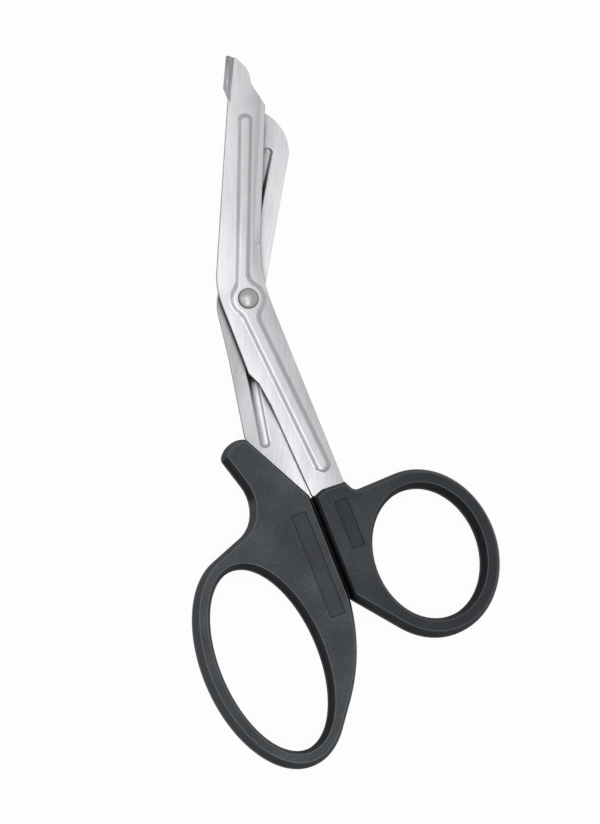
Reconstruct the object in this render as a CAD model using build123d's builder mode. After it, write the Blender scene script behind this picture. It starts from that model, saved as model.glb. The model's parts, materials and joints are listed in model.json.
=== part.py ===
from build123d import *
import os
from math import acos, atan2, cos, degrees, dist, hypot, radians, sin, tan

# Bandage scissors: two stamped steel blades on one rivet, each moulded into a plastic handle.
# They lie closed on the flat undersides of the handles, with the long side along Y.
# Sizes are in millimetres. Points of the outlines are (x, y) from the rivet's axis.

# Place of the rivet from the middle of the footprint
PIVOT_X = -25.98
PIVOT_Y = 29.39

# Reach from the rivet to the nose, and sideways from the front shank to the middle of the thumb ring
BLADE_REACH = 65.4
THUMB_REACH = 22.2

# Blade sheet and the play between the two blades
SHEET = 1.5
BLADE_GAP = 0.06

# Stiffening bead pressed into each blade, and the round pad that carries the rivet
BEAD_HEIGHT = 0.9
BEAD_SLOPE = 50
BEAD_ROUND = 1.4
BLADE_BEAD_WIDTH = 4.4
SHANK_BEAD_WIDTH = 4.9
HOLLOW_WIDTH = 3.2
HOLLOW_DEPTH = 0.8
HOLLOW_SLOPE = 45
HOLLOW_ROUND = 1.2
HOLLOW_FROM_PIVOT = 8.0
PAD_RADIUS = 5.1
PAD_BLEND = 2.5

# Ground cutting edges
EDGE_THICKNESS = 1.15
GRIND_WIDTH = 1.8
GRIND_PAST_END = 5.0

# Raised lip along the nose that slides along the skin
LIP_WIDTH = 2.0
LIP_HEIGHT = 1.1
LIP_RISE = 45
LIP_THICKNESS = 1.1
LIP_BASE = 1.0
LIP_ROOT_ROUND = 0.8
LIP_CREST_ROUND = 0.5
LIP_RIM_ROUND = 0.35

# Rivet
RIVET_RADIUS = 1.7
RIVET_PLAY = 0.05
RIVET_SEAT = 0.02
HEAD_RADIUS = 2.7
HEAD_HEIGHT = 1.25
HEAD_RIM = 0.3
PEEN_RADIUS = 2.5
PEEN_HEIGHT = 0.8

# Handles
HANDLE_THICKNESS = 8.6
BEVEL_INSET = 1.2
BEVEL_DEPTH = 3.2
STOP_GAP = 0.35
FINGER_RING_WIDTH = 4.7
FINGER_HOLE_LONG = 25.3
FINGER_HOLE_SHORT = 13.25
FINGER_HOLE_TURN = -67
THUMB_RING_WIDTH = 5.05
THUMB_HOLE_LONG = 17.65
THUMB_HOLE_SHORT = 14.2
THUMB_HOLE_TURN = -70.4
PANEL_DEPTH = 0.3
PANEL_CORNER = 0.8
FINGER_PANEL_LENGTH = 29.0
FINGER_PANEL_WIDTH = 4.4
THUMB_PANEL_LENGTH = 13.6
THUMB_PANEL_WIDTH = 3.8
KEY_HOLE_RADIUS = 1.6

# Front blade: nose, cutting edge, shank and tang down the right side, then back up the spine
NOSE_TOP = (-3.4, BLADE_REACH)
NOSE_BULGE = (-0.9, BLADE_REACH - 1.6)
NOSE_SIDE = (0.9, BLADE_REACH - 4.2)
NOSE_NECK = (1.5, BLADE_REACH - 7.1)
SHOULDER = (5.3, BLADE_REACH - 12.8)
FRONT_EDGE_TOP = (5.2, BLADE_REACH - 14.1)
FRONT_EDGE_END = (3.5, 15.0)
FRONT_SHANK_TOP = (8.2, -5.5)
FRONT_SHANK_END = (25.3, -48.4)
FRONT_TANG = [(24.7, -50.0), (28.4, -66.5), (25.3, -67.8), (20.0, -53.4)]
FRONT_HEEL_END = (16.7, -52.3)
FRONT_HEEL_TOP = (6.1, -28.4)
STEP_LOW = (2.9, -22.6)
STEP_HIGH = (0.2, -20.0)
FRONT_ELBOW_LOW = (-4.9, -6.5)
FRONT_SPINE_LOW = (-8.2, 7.0)
FRONT_SPINE_TOP = (-4.9, BLADE_REACH - 12.6)
LIP_FOOT = (-4.5, BLADE_REACH - 12.5)
LIP_TRIM = [(-4.1, BLADE_REACH - 12.6), (-6.8, BLADE_REACH - 7.4), (-9.0, BLADE_REACH - 12.6)]

# Back blade: rounded tip, spine, shank and tang down the right side, then back up the cutting edge
BACK_EDGE_TOP = (2.0, BLADE_REACH - 13.4)
TIP_BULGE = (9.0, BLADE_REACH - 17.6)
TIP_SIDE = (11.75, BLADE_REACH - 25.4)
BACK_SPINE_LOW = (5.0, 4.0)
BACK_SHANK_TOP = (5.7, -9.2)
BACK_SHANK_END = (15.6, -51.0)
BACK_TANG = [(13.8, -54.6), (18.4, -73.2), (14.4, -74.6), (6.0, -53.0), (1.2, -40.2)]
BACK_HEEL_END = (-0.75, -36.9)
BACK_SHANK_MID = (-4.9, -15.4)
BACK_ELBOW_LOW = (-7.6, -3.9)
BACK_EDGE_END = (-4.0, 14.5)

# Bead lines: end on the blade, bend beside the rivet, end on the shank
FRONT_BEAD = [(-0.3, BLADE_REACH - 17.3), (-1.6, 0.0), (19.4, -43.9)]
BACK_BEAD = [(6.0, BLADE_REACH - 25.3), (-2.4, 0.0), (4.6, -38.1)]

# Holes in the tangs that the moulded handles fill
FRONT_KEY_HOLES = [(25.4, -60.2)]
BACK_KEY_HOLES = [(9.0, -50.5), (14.6, -67.5)]

# Finger handle: hook, bay for the index finger, ring, and the straight side beside the thumb handle
HOOK_START = (-0.7, -37.6)
HOOK_START_ROUND = 2.5
HOOK_CROWN = (-4.9, -38.75)
HOOK_NOSE = (-7.3, -43.1)
HOOK_ROUND = 2.2
BAY_HIGH = (0.35, -53.0)
BAY_HIGH_ROUND = 11.5
BAY_LOW = (0.35, -61.2)
BAY_LOW_ROUND = 8.8
FINGER_RING_TOP = (-6.67, -68.24)
FINGER_SIDE_OUT = (24.55, 0.35)
FINGER_SIDE_ROUND = FINGER_HOLE_LONG * 2
MATE_TOP = (16.1, -52.3)
MATE_TURN = -68.8
MATE_PAST_HOLE = 4.6
MATE_ROUND = 22
FINGER_PANEL_MIDDLE = (17.7, -70.9)

# Thumb handle: web around the tang, and an oval ring
THUMB_CENTRE = (FRONT_SHANK_END[0] + THUMB_REACH, -67.1)
THUMB_START = (25.5, -48.3)
THUMB_NOTCH = (28.2, -50.7)
THUMB_NOTCH_ROUND = 2.0
THUMB_CHEEK = (19.3, -50.4)
THUMB_MATE_SHORT = 0.6
THUMB_PANEL_MIDDLE = (THUMB_CENTRE[0] - 21.2, -59.9)

# Heights above the plane where the two blades meet, and directions worked out from the sizes above
contact = Plane((PIVOT_X, PIVOT_Y, HANDLE_THICKNESS / 2))
pivot_axis = Axis(contact.origin, (0, 0, 1))
INNER = BLADE_GAP / 2
OUTER = INNER + SHEET
PAD_TOP = OUTER + BEAD_HEIGHT
FINGER_RING = (FINGER_HOLE_LONG + FINGER_RING_WIDTH, FINGER_HOLE_SHORT + FINGER_RING_WIDTH)
THUMB_RING = (THUMB_HOLE_LONG + THUMB_RING_WIDTH, THUMB_HOLE_SHORT + THUMB_RING_WIDTH)


def moved(point, turn, distance):
    """The point moved a distance in the direction of an angle."""
    return (point[0] + distance * cos(radians(turn)), point[1] + distance * sin(radians(turn)))


# The finger ring grows down from its top, and the side beside the thumb handle grows with it
FINGER_CENTRE = moved(FINGER_RING_TOP, FINGER_HOLE_TURN, FINGER_RING[0])
FINGER_SIDE = (FINGER_CENTRE[0] + FINGER_SIDE_OUT[0], FINGER_CENTRE[1] + FINGER_SIDE_OUT[1])
MATE_LOW = moved(MATE_TOP, MATE_TURN, FINGER_HOLE_LONG + MATE_PAST_HOLE)


def middle(start, end):
    """The point halfway between two points."""
    return ((start[0] + end[0]) / 2, (start[1] + end[1]) / 2)


def heading(start, end):
    """The direction from one point to another, as an angle."""
    return degrees(atan2(end[1] - start[1], end[0] - start[0]))


def ring_tangent(point, side, centre, ring, turn):
    """Where a line from a point outside touches a ring's outer ellipse."""
    turn = radians(turn)
    away = (point[0] - centre[0], point[1] - centre[1])
    u = (away[0] * cos(turn) + away[1] * sin(turn)) / ring[0]
    v = (away[1] * cos(turn) - away[0] * sin(turn)) / ring[1]
    touch = atan2(v, u) + side * acos(1 / hypot(u, v))
    u = ring[0] * cos(touch)
    v = ring[1] * sin(touch)
    return (centre[0] + u * cos(turn) - v * sin(turn), centre[1] + u * sin(turn) + v * cos(turn))


def across(start, end):
    """Upright plane at start, square to the line to end: its x points left of that line, its y up."""
    run = Vector(end[0] - start[0], end[1] - start[1], 0).normalized()
    origin = contact.from_local_coords(Vector(start[0], start[1], 0))
    return Plane(origin=origin, x_dir=Vector(0, 0, 1).cross(run), z_dir=run)


def bead_plan(height, line):
    """Two rounded runs that flare into the round pad at the pivot."""
    far, bend, low = line
    with BuildSketch(contact.offset(height)) as plan:
        Circle(PAD_RADIUS)
        SlotCenterPoint(middle(far, bend), far, BLADE_BEAD_WIDTH)
        SlotCenterPoint(middle(low, bend), low, SHANK_BEAD_WIDTH)
        on_pad = plan.vertices().filter_by(lambda v: abs(hypot(v.X, v.Y) - PAD_RADIUS) < 0.01)
        fillet(on_pad, radius=PAD_BLEND)
    return plan.sketch


def hollow_plan(height, line):
    """The hollows behind a bead. They stop short of the pivot, where the blades bear."""
    far, bend, low = line
    with BuildSketch(contact.offset(height)) as plan:
        for end in (far, low):
            start = moved(bend, heading(bend, end), HOLLOW_FROM_PIVOT)
            SlotCenterPoint(middle(start, end), end, HOLLOW_WIDTH)
    return plan.sketch


def round_flats(part, height, radius):
    """Round the rims of the flat faces at a height above the plane between the blades."""
    level = contact.offset(height).origin.Z
    for flat in part.faces().filter_by(Axis.Z).filter_by_position(Axis.Z, level - 0.01, level + 0.01):
        fillet(flat.edges(), radius=radius)


def grind_section(start, end, face, edge):
    """Triangle ground off a blade's outer face, square to the cutting edge."""
    fall = (face - edge) / GRIND_WIDTH
    with BuildSketch(across(start, end)) as section:
        with BuildLine():
            Polyline((GRIND_WIDTH, face), (-1, edge - fall), (-1, face), close=True)
        make_face()
    return section.sketch


def bevel_rims(part):
    """Bevel the rims of a handle's two flat faces, down to the straight band round its middle."""
    for side in (0, -1):
        flat = part.faces().filter_by(Axis.Z).sort_by(Axis.Z)[side]
        chamfer(flat.edges(), length=BEVEL_INSET, length2=BEVEL_DEPTH, reference=flat)


# Lip: the sheet stepped up along the left side of the nose, with its lower corner trimmed away
LIP_TOP = OUTER + LIP_HEIGHT
LIP_CREST = LIP_HEIGHT / tan(radians(LIP_RISE))
LIP_SKIN = LIP_THICKNESS / sin(radians(LIP_RISE))
LIP_HEM = LIP_SKIN + (LIP_HEIGHT - LIP_THICKNESS) / tan(radians(LIP_RISE))
LIP_TOE = LIP_SKIN - SHEET / tan(radians(LIP_RISE))
with BuildPart() as lip:
    with BuildSketch(across(LIP_FOOT, NOSE_TOP)) as lip_section:
        with BuildLine():
            Polyline(
                (-LIP_BASE, INNER),
                (-LIP_BASE, OUTER),
                (0, OUTER),
                (LIP_CREST, LIP_TOP),
                (LIP_WIDTH, LIP_TOP),
                (LIP_WIDTH, LIP_TOP - LIP_THICKNESS),
                (LIP_HEM, LIP_TOP - LIP_THICKNESS),
                (LIP_TOE, INNER),
                close=True,
            )
        make_face()
        fillet(lip_section.vertices().sort_by_distance((0, OUTER))[0], radius=LIP_ROOT_ROUND)
        fillet(lip_section.vertices().sort_by_distance((LIP_CREST, LIP_TOP))[0], radius=LIP_CREST_ROUND)
        fillet(lip_section.vertices().sort_by_distance((LIP_WIDTH, LIP_TOP))[0], radius=LIP_RIM_ROUND)
    extrude(amount=dist(NOSE_TOP, LIP_FOOT))
    with BuildSketch(contact):
        with BuildLine():
            Polyline(*LIP_TRIM, close=True)
        make_face()
    extrude(amount=LIP_TOP + LIP_THICKNESS, mode=Mode.SUBTRACT)

# Front blade: narrow nose with the lip, ground edge on the right, shank bent towards the thumb
with BuildPart() as front_blade:
    with BuildSketch(contact.offset(INNER)):
        with BuildLine():
            ThreePointArc(NOSE_TOP, NOSE_BULGE, NOSE_SIDE)
            Polyline(NOSE_SIDE, NOSE_NECK, SHOULDER, FRONT_EDGE_TOP, FRONT_EDGE_END)
            Spline(
                FRONT_EDGE_END,
                FRONT_SHANK_TOP,
                tangents=(
                    Vector(*FRONT_EDGE_END) - Vector(*FRONT_EDGE_TOP),
                    Vector(*FRONT_SHANK_END) - Vector(*FRONT_SHANK_TOP),
                ),
            )
            Polyline(FRONT_SHANK_TOP, FRONT_SHANK_END, *FRONT_TANG, FRONT_HEEL_END, FRONT_HEEL_TOP)
            Polyline(FRONT_HEEL_TOP, STEP_LOW, STEP_HIGH, FRONT_ELBOW_LOW)
            Spline(
                FRONT_ELBOW_LOW,
                FRONT_SPINE_LOW,
                tangents=(
                    Vector(*FRONT_ELBOW_LOW) - Vector(*STEP_HIGH),
                    Vector(*FRONT_SPINE_TOP) - Vector(*FRONT_SPINE_LOW),
                ),
            )
            Polyline(FRONT_SPINE_LOW, FRONT_SPINE_TOP, NOSE_TOP)
        make_face()
    extrude(amount=SHEET)
    add(lip.part)
    extrude(
        grind_section(FRONT_EDGE_END, FRONT_EDGE_TOP, OUTER, INNER + EDGE_THICKNESS),
        amount=dist(FRONT_EDGE_TOP, FRONT_EDGE_END) + GRIND_PAST_END,
        mode=Mode.SUBTRACT,
    )
    extrude(bead_plan(OUTER, FRONT_BEAD), amount=BEAD_HEIGHT, taper=BEAD_SLOPE)
    round_flats(front_blade, PAD_TOP, BEAD_ROUND)
    extrude(hollow_plan(INNER, FRONT_BEAD), amount=HOLLOW_DEPTH, taper=HOLLOW_SLOPE, mode=Mode.SUBTRACT)
    round_flats(front_blade, INNER + HOLLOW_DEPTH, HOLLOW_ROUND)
    with BuildSketch(contact):
        Circle(RIVET_RADIUS + RIVET_PLAY)
        with Locations(*FRONT_KEY_HOLES):
            Circle(KEY_HOLE_RADIUS)
    extrude(amount=PAD_TOP, mode=Mode.SUBTRACT)

# Back blade: rounded tip, ground edge hidden on the left, shank to the finger handle
with BuildPart() as back_blade:
    with BuildSketch(contact.offset(-INNER)):
        with BuildLine():
            ThreePointArc(BACK_EDGE_TOP, TIP_BULGE, TIP_SIDE)
            Line(TIP_SIDE, BACK_SPINE_LOW)
            Spline(
                BACK_SPINE_LOW,
                BACK_SHANK_TOP,
                tangents=(
                    Vector(*BACK_SPINE_LOW) - Vector(*TIP_SIDE),
                    Vector(*BACK_SHANK_END) - Vector(*BACK_SHANK_TOP),
                ),
            )
            Polyline(BACK_SHANK_TOP, BACK_SHANK_END, *BACK_TANG, BACK_HEEL_END, BACK_SHANK_MID, BACK_ELBOW_LOW)
            Spline(
                BACK_ELBOW_LOW,
                BACK_EDGE_END,
                tangents=(
                    Vector(*BACK_ELBOW_LOW) - Vector(*BACK_SHANK_MID),
                    Vector(*BACK_EDGE_TOP) - Vector(*BACK_EDGE_END),
                ),
            )
            Line(BACK_EDGE_END, BACK_EDGE_TOP)
        make_face()
    extrude(amount=-SHEET)
    extrude(
        grind_section(BACK_EDGE_TOP, BACK_EDGE_END, -OUTER, -INNER - EDGE_THICKNESS),
        amount=dist(BACK_EDGE_TOP, BACK_EDGE_END),
        mode=Mode.SUBTRACT,
    )
    extrude(bead_plan(-OUTER, BACK_BEAD), amount=-BEAD_HEIGHT, taper=BEAD_SLOPE)
    round_flats(back_blade, -PAD_TOP, BEAD_ROUND)
    extrude(hollow_plan(-INNER, BACK_BEAD), amount=-HOLLOW_DEPTH, taper=HOLLOW_SLOPE, mode=Mode.SUBTRACT)
    round_flats(back_blade, -INNER - HOLLOW_DEPTH, HOLLOW_ROUND)
    with BuildSketch(contact):
        Circle(RIVET_RADIUS + RIVET_SEAT)
        with Locations(*BACK_KEY_HOLES):
            Circle(KEY_HOLE_RADIUS)
    extrude(amount=-PAD_TOP, mode=Mode.SUBTRACT)

# Rivet: domed head over the front pad, plain shank, and the end peened flat under the back pad
HEAD_FOOT = PAD_TOP + RIVET_PLAY
with BuildPart() as pivot_rivet:
    with BuildSketch(Plane(contact.origin, x_dir=(1, 0, 0), z_dir=(0, -1, 0))):
        with BuildLine():
            Line((0, HEAD_FOOT + HEAD_HEIGHT), (0, -PAD_TOP - PEEN_HEIGHT))
            Bezier(
                (0, -PAD_TOP - PEEN_HEIGHT),
                (PEEN_RADIUS, -PAD_TOP - PEEN_HEIGHT),
                (PEEN_RADIUS, -PAD_TOP),
            )
            Polyline(
                (PEEN_RADIUS, -PAD_TOP),
                (RIVET_RADIUS, -PAD_TOP),
                (RIVET_RADIUS, HEAD_FOOT),
                (HEAD_RADIUS, HEAD_FOOT),
                (HEAD_RADIUS, HEAD_FOOT + HEAD_RIM),
            )
            TangentArc(
                (0, HEAD_FOOT + HEAD_HEIGHT),
                (HEAD_RADIUS, HEAD_FOOT + HEAD_RIM),
                tangent=(1, 0),
            )
        make_face()
    revolve(axis=pivot_axis)

# Finger handle: hook, finger bay and long ring in one outline, moulded round the back blade's tang
with BuildPart() as finger_handle:
    with BuildSketch(contact.offset(-HANDLE_THICKNESS / 2)) as finger_plan:
        with BuildLine():
            ThreePointArc(HOOK_START, HOOK_CROWN, HOOK_NOSE)
            Polyline(
                HOOK_NOSE,
                BAY_HIGH,
                BAY_LOW,
                ring_tangent(BAY_LOW, 1, FINGER_CENTRE, FINGER_RING, FINGER_HOLE_TURN),
                FINGER_CENTRE,
                ring_tangent(FINGER_SIDE, -1, FINGER_CENTRE, FINGER_RING, FINGER_HOLE_TURN),
                FINGER_SIDE,
                MATE_LOW,
                MATE_TOP,
                HOOK_START,
            )
        make_face()
        fillet(finger_plan.vertices().sort_by_distance(HOOK_START)[0], radius=HOOK_START_ROUND)
        fillet(finger_plan.vertices().sort_by_distance(HOOK_NOSE)[0], radius=HOOK_ROUND)
        fillet(finger_plan.vertices().sort_by_distance(BAY_HIGH)[0], radius=BAY_HIGH_ROUND)
        fillet(finger_plan.vertices().sort_by_distance(BAY_LOW)[0], radius=BAY_LOW_ROUND)
        fillet(finger_plan.vertices().sort_by_distance(FINGER_SIDE)[0], radius=FINGER_SIDE_ROUND)
        fillet(finger_plan.vertices().sort_by_distance(MATE_LOW)[0], radius=MATE_ROUND)
        with Locations(FINGER_CENTRE):
            Ellipse(*FINGER_RING, rotation=FINGER_HOLE_TURN)
            Ellipse(FINGER_HOLE_LONG, FINGER_HOLE_SHORT, rotation=FINGER_HOLE_TURN, mode=Mode.SUBTRACT)
    extrude(amount=HANDLE_THICKNESS)
    bevel_rims(finger_handle)
    with BuildSketch(contact.offset(HANDLE_THICKNESS / 2)):
        with Locations(FINGER_PANEL_MIDDLE):
            RectangleRounded(FINGER_PANEL_LENGTH, FINGER_PANEL_WIDTH, PANEL_CORNER, rotation=MATE_TURN)
    extrude(amount=-PANEL_DEPTH, mode=Mode.SUBTRACT)
    add(back_blade.part, mode=Mode.SUBTRACT)

# Thumb handle: web moulded round the front blade's tang, with lines that run out into the ring
thumb_mate_top = moved(moved(MATE_TOP, MATE_TURN, THUMB_MATE_SHORT), MATE_TURN + 90, STOP_GAP)
thumb_mate_low = moved(moved(MATE_LOW, MATE_TURN, -THUMB_MATE_SHORT), MATE_TURN + 90, STOP_GAP)
with BuildPart() as thumb_handle:
    with BuildSketch(contact.offset(-HANDLE_THICKNESS / 2)) as thumb_plan:
        with BuildLine():
            Polyline(
                THUMB_START,
                THUMB_NOTCH,
                ring_tangent(THUMB_NOTCH, -1, THUMB_CENTRE, THUMB_RING, THUMB_HOLE_TURN),
                THUMB_CENTRE,
                ring_tangent(thumb_mate_low, 1, THUMB_CENTRE, THUMB_RING, THUMB_HOLE_TURN),
                thumb_mate_low,
                thumb_mate_top,
                THUMB_CHEEK,
                close=True,
            )
        make_face()
        fillet(thumb_plan.vertices().sort_by_distance(THUMB_NOTCH)[0], radius=THUMB_NOTCH_ROUND)
        with Locations(THUMB_CENTRE):
            Ellipse(*THUMB_RING, rotation=THUMB_HOLE_TURN)
            Ellipse(THUMB_HOLE_LONG, THUMB_HOLE_SHORT, rotation=THUMB_HOLE_TURN, mode=Mode.SUBTRACT)
    extrude(amount=HANDLE_THICKNESS)
    bevel_rims(thumb_handle)
    with BuildSketch(contact.offset(HANDLE_THICKNESS / 2)):
        with Locations(THUMB_PANEL_MIDDLE):
            RectangleRounded(THUMB_PANEL_LENGTH, THUMB_PANEL_WIDTH, PANEL_CORNER, rotation=MATE_TURN)
    extrude(amount=-PANEL_DEPTH, mode=Mode.SUBTRACT)
    add(front_blade.part, mode=Mode.SUBTRACT)

os.makedirs("parts", exist_ok=True)
front_blade.part.label = "front_blade"
export_step(front_blade.part, "parts/front_blade.step")
back_blade.part.label = "back_blade"
export_step(back_blade.part, "parts/back_blade.step")
pivot_rivet.part.label = "pivot_rivet"
export_step(pivot_rivet.part, "parts/pivot_rivet.step")
finger_handle.part.label = "finger_handle"
export_step(finger_handle.part, "parts/finger_handle.step")
thumb_handle.part.label = "thumb_handle"
export_step(thumb_handle.part, "parts/thumb_handle.step")
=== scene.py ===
# %% [markdown]
# Bandage scissors, dressed in Blender.
#
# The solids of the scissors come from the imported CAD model: two stamped steel blades, one rivet and two moulded
# handles. This lesson gives them soft edges, satin steel, charcoal plastic, a white table and a photographer's light.
# Everything is in metres, in the same frame as the CAD.

# %% Load the frame
import json
from math import cos, degrees, radians, sin

import bpy
from mathutils import Matrix, Vector


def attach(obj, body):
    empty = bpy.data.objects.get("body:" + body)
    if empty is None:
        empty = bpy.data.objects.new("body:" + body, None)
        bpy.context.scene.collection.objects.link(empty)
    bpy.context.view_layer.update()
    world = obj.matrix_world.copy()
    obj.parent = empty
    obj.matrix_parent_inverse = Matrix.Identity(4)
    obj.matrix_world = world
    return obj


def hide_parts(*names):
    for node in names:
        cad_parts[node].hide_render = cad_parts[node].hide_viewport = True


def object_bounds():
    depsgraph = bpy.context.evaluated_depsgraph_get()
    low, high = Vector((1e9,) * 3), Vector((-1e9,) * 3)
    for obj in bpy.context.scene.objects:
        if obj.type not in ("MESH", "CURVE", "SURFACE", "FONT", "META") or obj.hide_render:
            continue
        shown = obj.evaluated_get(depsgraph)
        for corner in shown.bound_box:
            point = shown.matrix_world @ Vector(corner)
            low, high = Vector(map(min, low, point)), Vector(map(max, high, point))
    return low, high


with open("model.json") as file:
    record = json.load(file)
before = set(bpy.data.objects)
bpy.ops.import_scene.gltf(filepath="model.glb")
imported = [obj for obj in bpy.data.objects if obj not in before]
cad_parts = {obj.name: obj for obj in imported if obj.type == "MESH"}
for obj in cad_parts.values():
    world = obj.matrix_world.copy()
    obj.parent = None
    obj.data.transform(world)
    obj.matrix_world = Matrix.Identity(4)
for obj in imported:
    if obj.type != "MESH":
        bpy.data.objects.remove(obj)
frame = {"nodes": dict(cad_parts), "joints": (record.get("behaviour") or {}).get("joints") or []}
CAD_LOW, CAD_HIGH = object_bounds()
MM = 0.001
pivot = Vector(frame["joints"][0]["pos_m"])
print("nodes:", sorted(frame["nodes"]), "pivot:", [round(c / MM, 2) for c in pivot])

# %% [markdown]
# A CAD mesh is a bag of triangles with razor-sharp edges. Real stamped sheet has edges broken by tumbling, and moulded
# plastic leaves the tool with a small radius on every crease. A sharp edge never catches the light. The pieces could be
# modelled again with soft edges, but a second model would drift from the solids, so each piece is shown by a copy of
# its node. The copy's doubles are merged, and flat areas become single faces again.

# %% A clean copy of a node
DOUBLES_WITHIN = 0.002 * MM
FLAT_WITHIN = radians(0.5)


def clean_copy(node):
    """A copy of a CAD node with its doubles merged and its flat areas joined into single faces."""
    bpy.ops.object.select_all(action="DESELECT")
    source = frame["nodes"][node]
    piece = source.copy()
    piece.data = source.data.copy()
    piece.name = node + "_finish"
    piece.data.name = piece.name
    for key in list(piece.keys()):
        if key.startswith("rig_"):
            del piece[key]
    bpy.context.collection.objects.link(piece)
    piece.parent = None
    piece.select_set(True)
    bpy.context.view_layer.objects.active = piece
    bpy.ops.object.mode_set(mode="EDIT")
    bpy.ops.mesh.select_all(action="SELECT")
    bpy.ops.mesh.remove_doubles(threshold=DOUBLES_WITHIN)
    bpy.ops.mesh.dissolve_limited(angle_limit=FLAT_WITHIN)
    bpy.ops.object.mode_set(mode="OBJECT")
    print(f"{piece.name}: {len(piece.data.polygons)} faces before rounding")
    return piece


# %% [markdown]
# Each kind of crease gets its own radius. The rim of a sheet is barely broken, a moulded crease is softer, and the
# grinding line stays crisp. One angle limit for a whole piece couldn't tell them apart, so a crease is known by the
# slopes of the two faces that meet in it: the z part of a normal is 1 on a flat, 0 on a wall and between the two on a
# slope.

# %% Read the creases of a mesh
LEAST_ANGLE = 6


class Crease:
    """An edge between two faces: its angle in degrees, the slopes beside it, and where and how it runs."""

    def __init__(self, mesh, edge, one, two):
        start, end = [mesh.vertices[v].co for v in edge.vertices]
        self.angle = degrees(one.normal.angle(two.normal, 0.0))
        self.steep, self.flat = sorted((abs(one.normal.z), abs(two.normal.z)))
        self.place = (start + end) / 2
        self.run = (end - start).normalized()
        self.length = (end - start).length


def creases(mesh):
    """All the edges of a closed mesh whose faces meet at an angle, by the edge's number."""
    beside = {}
    for face in mesh.polygons:
        for key in face.edge_keys:
            beside.setdefault(key, []).append(face)
    found = {}
    for edge in mesh.edges:
        crease = Crease(mesh, edge, *beside[edge.key][:2])
        if crease.angle > LEAST_ANGLE:
            found[edge.index] = crease
    return found


# %% [markdown]
# The radius of a crease becomes its edge's bevel weight, and one Bevel modifier then rounds them all. With a width of
# 1 mm, a weight is simply a radius in millimetres. Where two rounded edges run into each other the bevel can leave
# slivers without area, and these are dissolved.

# %% Round chosen edges
WEIGHT_OF_ONE = 1.0 * MM
SLIVERS_WITHIN = 0.001 * MM


def bevel_edges(piece, radii, segments):
    """Round the edges with the given numbers, each by its own radius in millimetres."""
    weights = piece.data.attributes.new("bevel_weight_edge", "FLOAT", "EDGE")
    for number, radius in radii.items():
        weights.data[number].value = radius
    bevel = piece.modifiers.new("soft edges", "BEVEL")
    bevel.limit_method = "WEIGHT"
    bevel.width = WEIGHT_OF_ONE
    bevel.segments = segments
    bevel.use_clamp_overlap = False
    bpy.context.view_layer.objects.active = piece
    bpy.ops.object.modifier_apply(modifier=bevel.name)
    bpy.ops.object.mode_set(mode="EDIT")
    bpy.ops.mesh.select_all(action="SELECT")
    bpy.ops.mesh.dissolve_degenerate(threshold=SLIVERS_WITHIN)
    bpy.ops.object.mode_set(mode="OBJECT")


# %% [markdown]
# The foot of a pressed bead is a soft bend, and it needs no bevel: smooth shading blends the slope into the sheet
# there. Smooth shading alone would also tilt the shading of the flats beside it. Weighted normals cure that. They give
# every corner of a large level flat the flat's own direction, so that it mirrors one even tone.

# %% Shade smooth and keep the flats even
SMOOTH_WITHIN = radians(48)
LARGE_FLAT = 20.0 * MM * MM
LEVEL = 0.97


def even_flats(piece):
    """Shade a piece smooth, with the corners of its large level faces turned the way that the face looks."""
    bpy.ops.object.shade_smooth_by_angle(angle=SMOOTH_WITHIN)
    bpy.ops.object.mode_set(mode="EDIT")
    bpy.ops.mesh.select_mode(type="FACE")
    bpy.ops.mesh.select_all(action="DESELECT")
    bpy.ops.object.mode_set(mode="OBJECT")
    for face in piece.data.polygons:
        face.select = face.area > LARGE_FLAT and abs(face.normal.z) > LEVEL
    bpy.ops.object.mode_set(mode="EDIT")
    bpy.ops.mesh.mod_weighted_strength(set=True, face_strength="STRONG")
    bpy.ops.object.mode_set(mode="OBJECT")
    even = piece.modifiers.new("even flats", "WEIGHTED_NORMAL")
    even.mode = "CORNER_ANGLE"
    even.use_face_influence = True
    even.keep_sharp = True
    bpy.ops.object.modifier_apply(modifier=even.name)


def round_creases(piece, radius_of, segments):
    """Round each crease by the radius in millimetres that radius_of gives for it. None marks a crisp line."""
    radii = {}
    for number, crease in creases(piece.data).items():
        radius = radius_of(crease)
        if radius is None:
            piece.data.edges[number].use_edge_sharp = True
        elif radius > 0:
            radii[number] = radius
    bevel_edges(piece, radii, segments)
    even_flats(piece)
    triangles = sum(len(face.vertices) - 2 for face in piece.data.polygons)
    print(f"{piece.name}: {len(radii)} edges rounded, {triangles} triangles")


# %% [markdown]
# A blade is stamped from sheet. The press forms its stiffening bead, the round pad at the rivet and the lip that slides
# under a bandage, then the edge is ground and the blade is tumbled. Tumbling breaks the rim by a tenth of a millimetre
# and the upright corners by more. The bends of the lip and the bead are soft already and get no bevel, and the long
# line where the grinding starts is marked as sharp. Of the rivet only the rim of its head shows. Angles are in degrees
# here, radii are in millimetres, and the other limits are z parts of normals.

# %% Blades and rivet
LIP_SIDE = pivot.x - 3.0 * MM
LIP_LEVEL = pivot.y + 51.0 * MM
HEAD_LEVEL = pivot.z + 2.0 * MM
LONG = 4.0 * MM
FAINT, PLAIN = 20, 30
NEARLY_LEVEL = 0.95
GENTLE = 0.6
WALL = 0.3
SHEET_RIM, SHEET_CORNER, HEAD_RIM = 0.11, 0.2, 0.12
STEEL_SEGMENTS = 3


def blade_radius(crease):
    """Radius in millimetres for a crease of a blade."""
    if crease.angle < FAINT:
        grinding_line = crease.length > LONG and crease.steep > NEARLY_LEVEL
        return None if grinding_line else 0
    on_lip = crease.place.x < LIP_SIDE and crease.place.y > LIP_LEVEL
    foot_of_bead = crease.flat > LEVEL and GENTLE < crease.steep < NEARLY_LEVEL
    if on_lip or foot_of_bead:
        return 0
    if crease.flat < WALL:
        return SHEET_CORNER if crease.angle > PLAIN else 0
    return SHEET_RIM


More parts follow.
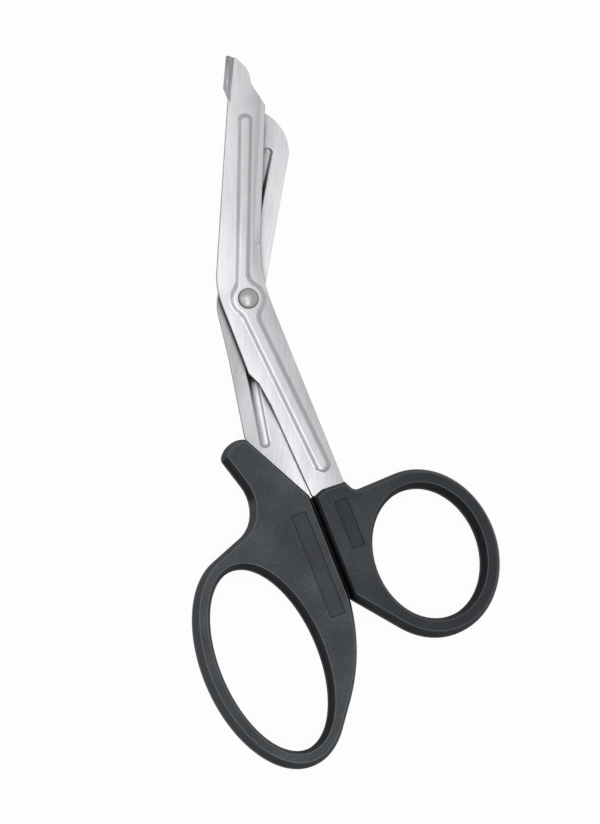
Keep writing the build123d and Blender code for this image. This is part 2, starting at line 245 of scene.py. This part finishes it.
def rivet_radius(crease):
    """Radius in millimetres for a crease of the rivet."""
    return HEAD_RIM if crease.angle > PLAIN and crease.place.z > HEAD_LEVEL else 0


front = clean_copy("front_blade")
round_creases(front, blade_radius, STEEL_SEGMENTS)
back = clean_copy("back_blade")
round_creases(back, blade_radius, STEEL_SEGMENTS)
rivet = clean_copy("pivot_rivet")
round_creases(rivet, rivet_radius, STEEL_SEGMENTS)

# %% [markdown]
# The handles are moulded round the tangs of the blades. Their rings have a flat face, a slope and an upright waist, so
# that the mould can open, and each handle has a shallow sunk panel. The creases have the small radius that a mould
# cutter leaves. A wider bevel would look softer still, but it folds over itself where the outline turns tightly.

# %% Handles
PANEL_LEVEL = CAD_HIGH[2] - 0.4 * MM
PANEL_FLOOR = CAD_HIGH[2] - 0.3 * MM
CORNER_BELOW = pivot.y - 75.0 * MM
RING_FACE, RING_WALL = 0.98, 0.1
SLOPE_FROM, SLOPE_TO = 0.2, 0.6
BLUNT = 25
UPRIGHT_RUN = 0.8
PANEL_RIM, FACE_CREASE, WAIST_CREASE, UPRIGHT_CORNER = 0.06, 0.22, 0.15, 0.3
PLASTIC_SEGMENTS = 4


def handle_radius(crease):
    """Radius in millimetres for a crease of a handle. The slot that holds the blade stays sharp."""
    by_face = crease.flat > RING_FACE
    by_wall = crease.steep < RING_WALL
    upright = crease.angle > BLUNT and abs(crease.run.z) > UPRIGHT_RUN
    if by_face and by_wall:
        return PANEL_RIM if crease.place.z > PANEL_LEVEL else 0
    if by_face and SLOPE_FROM < crease.steep < SLOPE_TO:
        return FACE_CREASE
    if by_wall and SLOPE_FROM < crease.flat < SLOPE_TO:
        return WAIST_CREASE
    return UPRIGHT_CORNER if upright and crease.place.y < CORNER_BELOW else 0


finger = clean_copy("finger_handle")
round_creases(finger, handle_radius, PLASTIC_SEGMENTS)
thumb = clean_copy("thumb_handle")
round_creases(thumb, handle_radius, PLASTIC_SEGMENTS)

# %% [markdown]
# The scissors are two halves that turn about the rivet. The front blade and the thumb handle are one half, and the back
# blade, the rivet and the finger handle are the other.

# %% Put each copy on its body in place of its node
BODIES = [
    (front, "thumb_half", "front_blade"),
    (thumb, "thumb_half", "thumb_handle"),
    (back, "finger_half", "back_blade"),
    (rivet, "finger_half", "pivot_rivet"),
    (finger, "finger_half", "finger_handle"),
]
for piece, body, node in BODIES:
    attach(piece, body)
    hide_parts(node)
    print(piece.name, "rides on", body)

# %% [markdown]
# Shader maths reads best as plain expressions. One small class wraps a socket, so that mask * 0.5 + 0.2 adds its Math
# nodes by itself. A second one holds a node tree, and one method of it makes every kind of node from its settings and
# its inputs.

# %% A socket that works like a number


class Value:
    """A socket of a shader tree that can be added, subtracted and multiplied like a number."""

    def __init__(self, tree, socket):
        self.tree = tree
        self.socket = socket

    def maths(self, operation, first, second=0.0):
        return self.tree.node("ShaderNodeMath", {"operation": operation}, {0: first, 1: second})

    def __add__(self, other):
        return self.maths("ADD", self, other)

    def __radd__(self, other):
        return self.maths("ADD", other, self)

    def __sub__(self, other):
        return self.maths("SUBTRACT", self, other)

    def __rsub__(self, other):
        return self.maths("SUBTRACT", other, self)

    def __mul__(self, other):
        return self.maths("MULTIPLY", self, other)

    def __rmul__(self, other):
        return self.maths("MULTIPLY", other, self)

    def __abs__(self):
        return self.maths("ABSOLUTE", self)

    def between(self, low, high):
        """0 below low, 1 above high and a soft step between them. Low may be the larger one."""
        sockets = {"Value": self, "From Min": low, "From Max": high}
        return self.tree.node("ShaderNodeMapRange", {"interpolation_type": "SMOOTHSTEP"}, sockets)


# %% A tree of shader nodes
CORNER_RAYS = 8


class Tree:
    """The node tree of a material or of the world, emptied and ready for new nodes."""

    def __init__(self, owner):
        owner.use_nodes = True
        self.nodes = owner.node_tree.nodes
        self.links = owner.node_tree.links
        self.nodes.clear()

    def node(self, kind, settings=None, sockets=None, output=0):
        """A new node, given by the one of its outputs that is wanted."""
        made = self.nodes.new(kind)
        for name, value in (settings or {}).items():
            setattr(made, name, value)
        for name, value in (sockets or {}).items():
            if isinstance(value, Value):
                self.links.new(value.socket, made.inputs[name])
            else:
                made.inputs[name].default_value = value
        return Value(self, made.outputs[output]) if made.outputs else None

    def mix(self, factor, one, two):
        """A colour between two colours, given as sockets or as three numbers."""
        one, two = [colour if isinstance(colour, Value) else (*colour, 1) for colour in (one, two)]
        return self.node("ShaderNodeMix", {"data_type": "RGBA"}, {0: factor, 6: one, 7: two}, 2)

    def noise(self, place, scale, detail, roughness=0.5):
        sockets = {"Vector": place, "Scale": scale, "Detail": detail, "Roughness": roughness}
        return self.node("ShaderNodeTexNoise", None, sockets)

    def place(self):
        return self.node("ShaderNodeTexCoord", None, None, "Object")

    def normal(self):
        return self.node("ShaderNodeTexCoord", None, None, "Normal")

    def split(self, vector):
        """The x, y and z parts of a vector."""
        first = self.node("ShaderNodeSeparateXYZ", None, {0: vector})
        return [Value(self, socket) for socket in first.socket.node.outputs]

    def turned(self, angle):
        """Object coordinates turned about the rivet's axis."""
        sockets = {"Vector": self.place(), "Center": tuple(pivot), "Angle": angle}
        return self.node("ShaderNodeVectorRotate", {"rotation_type": "Z_AXIS"}, sockets)

    def stretched(self, angle, stretch):
        """Object coordinates turned about the rivet's axis, then stretched along the turned axes."""
        sockets = {0: self.turned(angle), 1: stretch}
        return self.node("ShaderNodeVectorMath", {"operation": "MULTIPLY"}, sockets)

    def beside(self, heading, offset):
        """How far a point lies to the left of a line through the rivet's axis, moved left by an offset."""
        return self.split(self.turned(-heading))[1] - (pivot.y + offset)

    def up_blade(self):
        """How far a point lies from the rivet towards the nose."""
        return self.split(self.place())[1] - pivot.y

    def openness(self, reach):
        """1 in the open, falling towards 0 in corners and gaps narrower than the reach."""
        return self.node("ShaderNodeAmbientOcclusion", {"samples": CORNER_RAYS}, {"Distance": reach}, "AO")

    def bump(self, height, strength, distance, normal=None):
        sockets = {"Height": height, "Strength": strength, "Distance": distance}
        if normal:
            sockets["Normal"] = normal
        return self.node("ShaderNodeBump", None, sockets)

    def finish(self, sockets):
        shader = self.node("ShaderNodeBsdfPrincipled", None, sockets, "BSDF")
        self.node("ShaderNodeOutputMaterial", None, {"Surface": shader})


def times(colour, factor):
    """A darker or lighter shade of a colour."""
    return tuple(c * factor for c in colour)


# %% [markdown]
# A pressed sheet is never quite flat. It leans away from its bead by a few degrees and droops a little towards the
# nose, so that each flat mirrors a soft run from light to dark instead of one grey. The lean is too slight to see as a
# shape, so it is made as a bump with its height in metres. Each blade has a bend at the rivet, so the sheet is measured
# from two lines, one along the bead of the blade and one along the bead of the shank. The lower blade lies with its
# hollow side up, and its sheet rises from the bead instead.

# %% The bow of a pressed sheet
IN_METRES = {"strength": 1.0, "distance": 1.0}
CROSS_BOW = 4.0
LONG_BOW = 0.35
BEND_AT = 3.0 * MM
FRONT_BOW = {
    "blade_line": (radians(88.5), 1.6 * MM),
    "shank_line": (radians(-64.4), -1.4 * MM),
    "fall": 1.0,
    "lean": -0.02,
}
BACK_BOW = {
    "blade_line": (radians(78.2), 2.3 * MM),
    "shank_line": (radians(-79.6), -2.4 * MM),
    "fall": -1.2,
    "lean": -0.033,
}


def sheet_bow(tree, blade_line, shank_line, fall, lean):
    """Height of a sheet that falls away from its bead and leans over along its shank. A line is (heading, offset)."""
    up_blade = tree.up_blade()
    on_blade = up_blade.between(-BEND_AT, BEND_AT)
    blade = tree.beside(*blade_line)
    shank = tree.beside(*shank_line)
    across = on_blade * blade * blade + (1 - on_blade) * shank * shank
    leaning = (1 - on_blade) * shank * lean
    return across * (-fall * CROSS_BOW) - up_blade * up_blade * LONG_BOW + leaning


# %% [markdown]
# Little light gets in where the blades nearly touch and where a bead rises from the pad, and steel mirrors that
# darkness. Mirrored light alone leaves such gaps too bright, because the lamps are large, so the Ambient Occlusion node
# finds them and the colour goes dark there. The lip is a wide, open fold and darkens later than the rest. Beside the
# handles the shade is left out.

# %% The shade between the blades
GAP = 4 * MM
GAP_CLOSES = (0.85, 0.5)
LIP_CLOSES = (0.75, 0.3)
BELOW_LIP = (55 * MM, 45 * MM)
CLEAR_OF_HANDLES = (-34 * MM, -28 * MM)


def blade_gap(tree):
    """1 where the blades nearly touch, and 0 in the open and beside the handles."""
    up_blade = tree.up_blade()
    openness = tree.openness(GAP)
    below_lip = up_blade.between(*BELOW_LIP)
    between_blades = openness.between(*GAP_CLOSES) * below_lip
    under_lip = openness.between(*LIP_CLOSES) * (1 - below_lip)
    return (between_blades + under_lip) * up_blade.between(*CLEAR_OF_HANDLES)


# %% [markdown]
# The blades are stainless sheet, rolled, stamped and tumbled to a satin finish. Rolling leaves faint streaks along the
# sheet, and stamping leaves it a little wavy, so its reflections are cloudy instead of clean. The shear-cut edges are
# rough and duller. Their colour is darker, partly for that cut surface and partly as painted shade, and this draws a
# dark line round each blade. The strip along the cutting edge is freshly ground and bright. The slopes of the bead are
# stretched by the press and rougher. All this could be painted as an image, but the paint would have to be laid out on
# each blade. Here the material finds each place by its normal, which lies level on an edge, points up or down on a
# face, and tips to the right on the ground strip.

# %% Satin steel
GROUND = (0.78, 0.785, 0.80)
GAP_COLOUR, GAP_DEPTH = (0.03, 0.03, 0.032), 0.8
STREAK_STRETCH = (420.0, 26.0, 200.0)
STREAKS = {"scale": 4.0, "detail": 4.0, "roughness": 0.6}
CLOUD_STRETCH = (1.0, 0.4, 1.0)
CLOUDS = {"scale": 120.0, "detail": 2.0}
STEEL_GRAIN = {"scale": 5200.0, "detail": 2.0}
NOISE_MEAN = 0.5
MOTTLE = (0.3, 0.7)
MOST, REST = 0.6, 0.4
STEEL_DARKER, STEEL_LIGHTER = 0.86, 1.10
SHEET_EDGE = (0.45, 0.2)
BEAD_SLOPE = (0.97, 0.8)
GROUND_TIPS, GROUND_LEVEL = (0.06, 0.12), (0.96, 0.975)
GROUND_FROM_RIVET = (9 * MM, 22 * MM)
CLOUD_ROUGHER, GRAIN_ROUGHER, EDGE_ROUGHER, SLOPE_ROUGHER = 0.14, 0.10, 0.05, 0.3
FINE_BUMP = {"strength": 0.10, "distance": 0.05 * MM}
CLOUD_BUMP = {"strength": 0.30, "distance": 0.12 * MM}
COAT_ROUGHNESS = 0.06


def ground_strip(tree, sideways, upright):
    """1 on the strip along the cutting edge, fading out towards the rivet."""
    facet = sideways.between(*GROUND_TIPS) * upright.between(*GROUND_LEVEL)
    return facet * tree.up_blade().between(*GROUND_FROM_RIVET)


def satin_steel(name, colour, shaded_edge, roughness, turn, bow=None, edge_at=SHEET_EDGE, coat=0.0):
    """Tumbled steel with streaks along a direction. Its edges take a darker colour: painted shade, and on a blade also
    the cut surface.
    """
    material = bpy.data.materials.new(name)
    tree = Tree(material)
    streaks = tree.noise(tree.stretched(turn, STREAK_STRETCH), **STREAKS)
    cloud = tree.noise(tree.stretched(turn, CLOUD_STRETCH), **CLOUDS)
    grain = tree.noise(tree.place(), **STEEL_GRAIN)
    sideways, _, upright = tree.split(tree.normal())
    edge = abs(upright).between(*edge_at)
    slope = abs(upright).between(*BEAD_SLOPE)
    mottle = (cloud * MOST + streaks * REST).between(*MOTTLE)
    face = tree.mix(mottle, times(colour, STEEL_DARKER), times(colour, STEEL_LIGHTER))
    face = tree.mix(ground_strip(tree, sideways, upright), face, GROUND)
    # Painted shade: the upright edges take the darker edge colour, on a blade together with its cut surface.
    edge_shaded = tree.mix(edge, face, shaded_edge)
    bowed = tree.bump(sheet_bow(tree, **bow), **IN_METRES) if bow else None
    fine = tree.bump(grain * MOST + streaks * REST, normal=bowed, **FINE_BUMP)
    uneven = (cloud - NOISE_MEAN) * CLOUD_ROUGHER + (grain - NOISE_MEAN) * GRAIN_ROUGHER
    tree.finish(
        {
            "Base Color": tree.mix(blade_gap(tree) * GAP_DEPTH, edge_shaded, GAP_COLOUR),
            "Coat Weight": coat,
            "Coat Roughness": COAT_ROUGHNESS,
            "Metallic": 1.0,
            "Roughness": roughness + uneven + edge * EDGE_ROUGHER + slope * SLOPE_ROUGHER,
            "Normal": tree.bump(cloud, normal=fine, **CLOUD_BUMP),
        }
    )
    print("material:", name)
    return material


# %% [markdown]
# The two blades are of the same sheet and share its colours, but each has its streaks along its own length and its own
# bow. The rivet is a turned pin with a polished head: a darker steel under a clear, smooth coat, which keeps a small
# sharp spark. Its dome is painted darker towards the rim as painted shade: it counts as an edge much sooner than a
# sheet does, and takes the edge's dark colour.

# %% Three kinds of steel
STEEL = (0.59, 0.596, 0.608)
# The edge colour of a blade: its cut surface together with painted shade.
SHEARED_AND_SHADED = (0.40, 0.40, 0.41)
BLADE_ROUGHNESS = 0.29
RIVET = (0.46, 0.46, 0.47)
# Painted shade at the rim of the rivet's dome.
RIVET_RIM_SHADE = (0.16, 0.16, 0.163)
RIVET_ROUGHNESS = 0.36
DOME_EDGE = (0.85, 0.75)
POLISH = 0.8
BACK_TURN, RIVET_TURN = radians(8), 0.3
steel_front = satin_steel("satin_steel_front", STEEL, SHEARED_AND_SHADED, BLADE_ROUGHNESS, 0.0, FRONT_BOW)
steel_back = satin_steel("satin_steel_back", STEEL, SHEARED_AND_SHADED, BLADE_ROUGHNESS, BACK_TURN, BACK_BOW)
steel_rivet = satin_steel(
    "satin_steel_rivet", RIVET, RIVET_RIM_SHADE, RIVET_ROUGHNESS, RIVET_TURN, edge_at=DOME_EDGE, coat=POLISH
)

# %% [markdown]
# The walls of the rings are darker than their faces. The ones that face the light are paler than the ones that face
# away, and the walls inside a ring are darkest, because the ring shades itself. The lamps and the table are large and
# white, and would wash most of that out, so this shade is painted into the material's colour.

# %% The walls of the rings
WALL_LIT, WALL_DIM, WALL_INSIDE = 0.85, 0.3, 0.1
FROM_TOP = 0.5
DIM_TO_LIT = (-0.2, 0.8)
INSIDE_RING = (-2 * MM, -8 * MM)


def ring_wall(tree, colour, ring):
    """Colour of the upright walls round the middle of a ring, with painted shade. The middle is given from the rivet.
    """
    sideways, away, _ = tree.split(tree.normal())
    rightwards, upwards, _ = tree.split(tree.place())
    lit = (away * FROM_TOP - sideways).between(*DIM_TO_LIT)
    wall = tree.mix(lit, times(colour, WALL_DIM), times(colour, WALL_LIT))
    outwards = (rightwards - pivot.x - ring[0]) * sideways + (upwards - pivot.y - ring[1]) * away
    return tree.mix(outwards.between(*INSIDE_RING), wall, times(colour, WALL_INSIDE))


# %% [markdown]
# The handles are charcoal plastic with the fine satin skin of a spark-eroded mould. A flat grey would look like paper:
# the skin has a fine grain that scatters the light, and soft patches where hands have polished it. The creases carry a
# painted highlight, lighter where a rounded crease catches the light. The floors of the sunk panels are darker than the
# skin around them. Corners carry painted shade, and deep gaps are painted almost black as painted shade. The thumb
# handle has painted shade at its right end, which lies farther from the light.

# %% Charcoal plastic
PLASTIC_GRAIN = {"scale": 2400.0, "detail": 3.0, "roughness": 0.6}
PATCHES = {"scale": 90.0, "detail": 2.0}
HALF = 0.5
PLASTIC_DARKER, PLASTIC_LIGHTER = 0.66, 1.28
CREASE_HIGHLIGHT_FROM, CREASE_HIGHLIGHT_TO = (0.45, 0.75), (0.995, 0.9)
CREASE_HIGHLIGHT_LIGHTER, CREASE_HIGHLIGHT_SHARE = 2.4, 0.9
DARKER_TONE, PANEL_SHARE, FAR_SHARE = 0.6, 0.4, 0.6
PANEL_LOOKS_UP = (0.98, 0.995)
PANEL_BELOW_FACE = (PANEL_FLOOR + 0.15 * MM, PANEL_FLOOR + 0.05 * MM)
PANEL_ABOVE_SLOPE = (PANEL_LEVEL - 0.1 * MM, PANEL_LEVEL)
CORNER_REACH, CORNER_CLOSES, CORNER_SHADE_SHARE = 0.8 * MM, (0.95, 0.7), 0.7
DEEP_REACH, DEEP_CLOSES = 4 * MM, (0.8, 0.3)
CORNER_SHADE, DEEP_GAP_SHADE = (0.008,) * 3, (0.004,) * 3
FACE_TO_WALL = (0.6, 0.3)
PLASTIC_ROUGHNESS, PATCH_ROUGHER, SKIN_ROUGHER = 0.44, 0.14, 0.12
PLASTIC_SPECULAR = 0.05
SKIN_BUMP = {"strength": 0.2, "distance": 0.04 * MM}


def sunk_panel(tree, upright):
    """1 on the floor of a sunk panel."""
    height = tree.split(tree.place())[2]
    at_floor = height.between(*PANEL_BELOW_FACE) * height.between(*PANEL_ABOVE_SLOPE)
    return upright.between(*PANEL_LOOKS_UP) * at_floor


def charcoal_plastic(name, colour, ring, far=None):
    """Moulded charcoal plastic, with a painted highlight along its creases and painted shade down its sides and in its
    gaps.
    """
    material = bpy.data.materials.new(name)
    tree = Tree(material)
    grain = tree.noise(tree.place(), **PLASTIC_GRAIN)
    patches = tree.noise(tree.place(), **PATCHES)
    upright = abs(tree.split(tree.normal())[2])
    mottle = (patches * HALF + grain * HALF).between(*MOTTLE)
    darker_tone = times(colour, DARKER_TONE)
    tint = tree.mix(mottle, times(colour, PLASTIC_DARKER), times(colour, PLASTIC_LIGHTER))
    tint = tree.mix(sunk_panel(tree, upright) * PANEL_SHARE, tint, darker_tone)
    # Painted shade in corners.
    corner = tree.openness(CORNER_REACH).between(*CORNER_CLOSES)
    tint = tree.mix(corner * CORNER_SHADE_SHARE, tint, CORNER_SHADE)
    # Painted shade towards the right end of the thumb handle, which lies farther from the light.
    if far:
        rightwards = tree.split(tree.place())[0] - pivot.x
        tint = tree.mix(rightwards.between(*far) * FAR_SHARE, tint, darker_tone)
    # Painted shade on the ring walls: paler where they face the light, darkest inside a ring.
    tint = tree.mix(upright.between(*FACE_TO_WALL), tint, ring_wall(tree, colour, ring))
    # Painted highlight along the rounded creases.
    crease_highlight = upright.between(*CREASE_HIGHLIGHT_FROM) * upright.between(*CREASE_HIGHLIGHT_TO)
    tint = tree.mix(crease_highlight * CREASE_HIGHLIGHT_SHARE, tint, times(colour, CREASE_HIGHLIGHT_LIGHTER))
    # Painted shade, almost black, in deep gaps.
    deep = tree.openness(DEEP_REACH).between(*DEEP_CLOSES)
    uneven = (patches - NOISE_MEAN) * PATCH_ROUGHER + (grain - NOISE_MEAN) * SKIN_ROUGHER
    tree.finish(
        {
            "Base Color": tree.mix(deep, tint, DEEP_GAP_SHADE),
            "Specular IOR Level": PLASTIC_SPECULAR,
            "Roughness": PLASTIC_ROUGHNESS + uneven,
            "Normal": tree.bump(grain, **SKIN_BUMP),
        }
    )
    print("material:", name)
    return material


# %% [markdown]
# The two handles are of the same plastic, but the thumb handle looks darker in the photograph's light, so each has its
# own shade. The middle of each ring is given from the rivet, and tells the material which walls are inside the ring.

# %% Two shades of plastic
# Painted shade: the thumb handle is of the same plastic, given a darker colour than the finger handle.
FINGER_SHADE, THUMB_SHADE = (0.067, 0.0725, 0.079), (0.049, 0.0535, 0.059)
FINGER_RING, THUMB_RING = (4.5 * MM, -94.0 * MM), (49.5 * MM, -67.0 * MM)
THUMB_FAR = (28 * MM, 48 * MM)
plastic_finger = charcoal_plastic("charcoal_plastic_finger", FINGER_SHADE, FINGER_RING)
plastic_thumb = charcoal_plastic("charcoal_plastic_thumb", THUMB_SHADE, THUMB_RING, THUMB_FAR)

# %% [markdown]
# Each piece of the scissors is of one material all over, so one material slot is enough, and no face needs a choice of
# its own.

# %% Give each piece its finish
FINISHES = [
    (front, steel_front, "blade_steel"),
    (back, steel_back, "blade_steel"),
    (rivet, steel_rivet, "rivet_steel"),
    (finger, plastic_finger, "handle_plastic"),
    (thumb, plastic_thumb, "handle_plastic"),
]
for piece, finish, slot_name in FINISHES:
    piece.data.materials.clear()
    piece.data.materials.append(finish)
    print(piece.name, "gets", finish.name)

# %% [markdown]
# The scissors lie on a white table. The floor is a real surface, so it holds a soft shadow. More lamps could make it
# white, but they would bleach the part, so most of what the camera sees of it is a plain white glow. The steel mirrors
# less of the glow, and less light bounces from the floor than it shows, as if black cards stood beside the scissors.
# That keeps the rims of the blades and the sides of the handles dark.

# %% White table
FLOOR_SIZE = 4.0
FLOOR_LEVEL = -0.02 * MM
FLOOR_SEEN, FLOOR_BOUNCED = (0.88,) * 3, (0.3,) * 3
GLOW_SEEN = 0.95
GLOW_MIRRORED = 0.3
bpy.ops.object.select_all(action="DESELECT")
bpy.ops.mesh.primitive_plane_add(size=FLOOR_SIZE, location=(0, 0, FLOOR_LEVEL))
floor = bpy.context.object
floor.name = "table"
paper = bpy.data.materials.new("white_table")
tree = Tree(paper)
RAYS = ("Is Camera Ray", "Is Glossy Ray", "Is Transmission Ray")
camera_ray, glossy_ray, transmission_ray = [tree.node("ShaderNodeLightPath", output=name) for name in RAYS]
seen = camera_ray + glossy_ray + transmission_ray
matt = tree.node("ShaderNodeBsdfDiffuse", None, {"Color": tree.mix(seen, FLOOR_BOUNCED, FLOOR_SEEN)}, "BSDF")
glow = tree.node("ShaderNodeEmission", None, {"Color": (1, 1, 1, 1), "Strength": 1.0}, "Emission")
glow_share = camera_ray * GLOW_SEEN + (glossy_ray + transmission_ray) * GLOW_MIRRORED
surface = tree.node("ShaderNodeMixShader", None, {0: glow_share, 1: matt, 2: glow}, "Shader")
tree.node("ShaderNodeOutputMaterial", None, {"Surface": surface})
floor.data.materials.append(paper)
print("table:", FLOOR_SIZE, "m wide")

# %% [markdown]
# The light is a tent: bright overhead and dimmer towards the horizon, which gives flat steel its even tone and leaves
# the steep sides of beads and handles darker. A tent alone would be dull, so three lamps are added. A large softbox
# hangs overhead, a slightly brighter one to its left draws the light line along each bead, and a small one towards the
# viewer makes the spark on the rivet.

# %% A tent of light
HORIZON = (0.60, 0.60, 0.605)
TOP = (0.68, 0.68, 0.69)
BRIGHTER_RIGHT = 0.12
SKY_RISES = (-0.05, 1.0)
world = bpy.data.worlds.new("tent")
bpy.context.scene.world = world
tree = Tree(world)
across, _, up = tree.split(tree.node("ShaderNodeTexCoord", None, None, "Generated"))
sky = tree.mix((up + across * BRIGHTER_RIGHT).between(*SKY_RISES), HORIZON, TOP)
tent = tree.node("ShaderNodeBackground", None, {"Color": sky, "Strength": 1.0}, "Background")
tree.node("ShaderNodeOutputWorld", None, {"Surface": tent})
print("tent: from", HORIZON, "to", TOP)

# %% Softboxes
WATTS_BY_RADIANCE = 4


def softbox(name, place, size, radiance):
    """A rectangular lamp that faces the scissors. It adds its radiance to the tent behind it."""
    lamp = bpy.data.lights.new(name, "AREA")
    lamp.shape = "RECTANGLE"
    lamp.size, lamp.size_y = size
    lamp.energy = radiance * WATTS_BY_RADIANCE * size[0] * size[1]
    box = bpy.data.objects.new(name, lamp)
    bpy.context.collection.objects.link(box)
    box.location = place
    box.rotation_mode = "QUATERNION"
    box.rotation_quaternion = (-Vector(place)).to_track_quat("-Z", "Y")
    print("softbox:", name, "at", [round(c, 2) for c in place])


softbox("overhead", place=(-0.02, 0.08, 1.1), size=(0.50, 0.80), radiance=0.62)
softbox("left", place=(-0.42, 0.05, 1.0), size=(0.40, 1.1), radiance=0.7)
softbox("spark", place=(-0.06, -0.60, 1.0), size=(0.08, 0.08), radiance=70.0)

# %% [markdown]
# The photograph looks almost straight down, from a little to the left and below, through a long lens. A camera could be
# moved by eye until it fits. Here it is placed from that lean and from the height of table that the picture takes in,
# because these can be measured and changed one at a time.

# %% Camera
PICTURE_HIGH = 218.0 * MM
CAMERA_AWAY = 1.3
SENSOR_WIDTH = 36.0
LEAN_LEFT = radians(10)
LEAN_DOWN = radians(9)
ROLL = radians(-0.6)
IMAGE_MIDDLE = Vector((14.0, -29.8, 0.0)) * MM
target = pivot + IMAGE_MIDDLE
backwards = Vector((-sin(LEAN_LEFT), -sin(LEAN_DOWN), cos(LEAN_LEFT) * cos(LEAN_DOWN))).normalized()
right = Vector((0, 1, 0)).cross(backwards).normalized()
upwards = backwards.cross(right)
lens = bpy.data.cameras.new("camera")
lens.sensor_width = SENSOR_WIDTH
lens.lens = SENSOR_WIDTH * CAMERA_AWAY / PICTURE_HIGH
camera = bpy.data.objects.new("camera", lens)
bpy.context.collection.objects.link(camera)
turn = Matrix((right, upwards, backwards)).transposed() @ Matrix.Rotation(ROLL, 3, "Z")
camera.matrix_world = Matrix.Translation(target + backwards * CAMERA_AWAY) @ turn.to_4x4()
bpy.context.scene.camera = camera
print("lens:", round(lens.lens), "mm")

# %% [markdown]
# Blender's film look would bend the colours, so the plain Standard view shows them as they are written.

# %% Finish
bpy.context.scene.view_settings.view_transform = "Standard"
